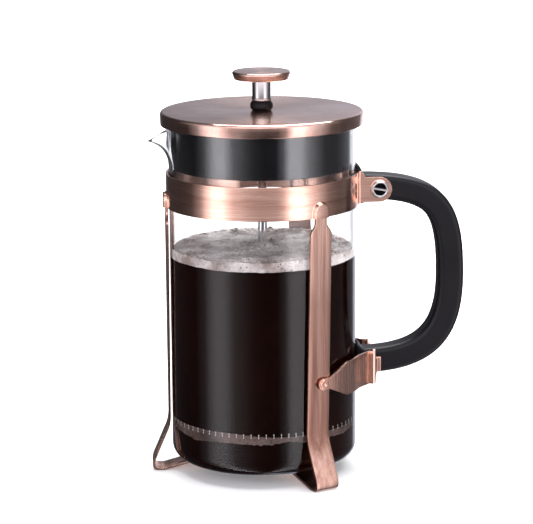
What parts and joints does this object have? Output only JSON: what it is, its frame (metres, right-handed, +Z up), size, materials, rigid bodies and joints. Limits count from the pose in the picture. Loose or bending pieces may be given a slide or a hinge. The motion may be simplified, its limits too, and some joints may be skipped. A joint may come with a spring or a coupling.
{
  "type": "french press",
  "caption": "Glass coffee press in a copper-finish strip frame with a plastic handle, a pouring spout, a lid and a sliding plunger with a mesh filter.",
  "frame": {"origin": "floor under the middle of the bounding box; the beaker's axis stands 23.3 mm toward -X of it", "axes": "+Z up along the plunger's rod, +X from the beaker toward the handle, -X toward the spout"},
  "size_m": [0.1712, 0.1126, 0.217],
  "materials": {
    "glass": "clear borosilicate",
    "copper": "brushed, antique copper plated stainless steel",
    "steel": "polished stainless steel",
    "filter_steel": "plain stainless steel",
    "handle_plastic": "satin black",
    "lid_plastic": "gloss black"
  },
  "bodies": {
    "stand": {"band": "copper", "leg_spout": "copper", "leg_left": "copper", "leg_right": "copper", "hub_plate": "copper", "hub_rivet_spout": "steel", "hub_rivet_left": "steel", "hub_rivet_right": "steel", "strap_left": "copper", "strap_right": "copper", "strap_rivet_left": "copper", "strap_rivet_right": "copper", "handle": "handle_plastic", "handle_screw": "steel", "handle_nut": "steel"},
    "glass": {"beaker": "glass"},
    "lid": {"lid_cover": "copper", "lid_collar": "lid_plastic"},
    "bushing": {"rod_bushing": "lid_plastic", "bushing_clip": "steel"},
    "plunger": {"plunger_rod": "steel", "knob_column": "steel", "knob": "copper", "filter_hub": "filter_steel", "spiral_plate": "filter_steel", "edge_spring": "filter_steel", "mesh_screen": "filter_steel", "cross_plate": "filter_steel", "filter_nut": "filter_steel"}
  },
  "joints": [
    {"name": "beaker_lift", "type": "slide", "parent": "stand", "child": "glass", "axis": [0, 0, 1], "range_m": [0, 0.165]},
    {"name": "lid_lift", "type": "slide", "parent": "glass", "child": "lid", "axis": [0, 0, 1], "range_m": [0, 0.175]},
    {"name": "plunger_spin", "type": "hinge", "parent": "lid", "child": "bushing", "pos_m": [-0.0233, 0, 0.2], "axis": [0, 0, 1], "continuous": true},
    {"name": "plunger_slide", "type": "slide", "parent": "bushing", "child": "plunger", "axis": [0, 0, 1], "range_m": [0, 0.135]}
  ]
}
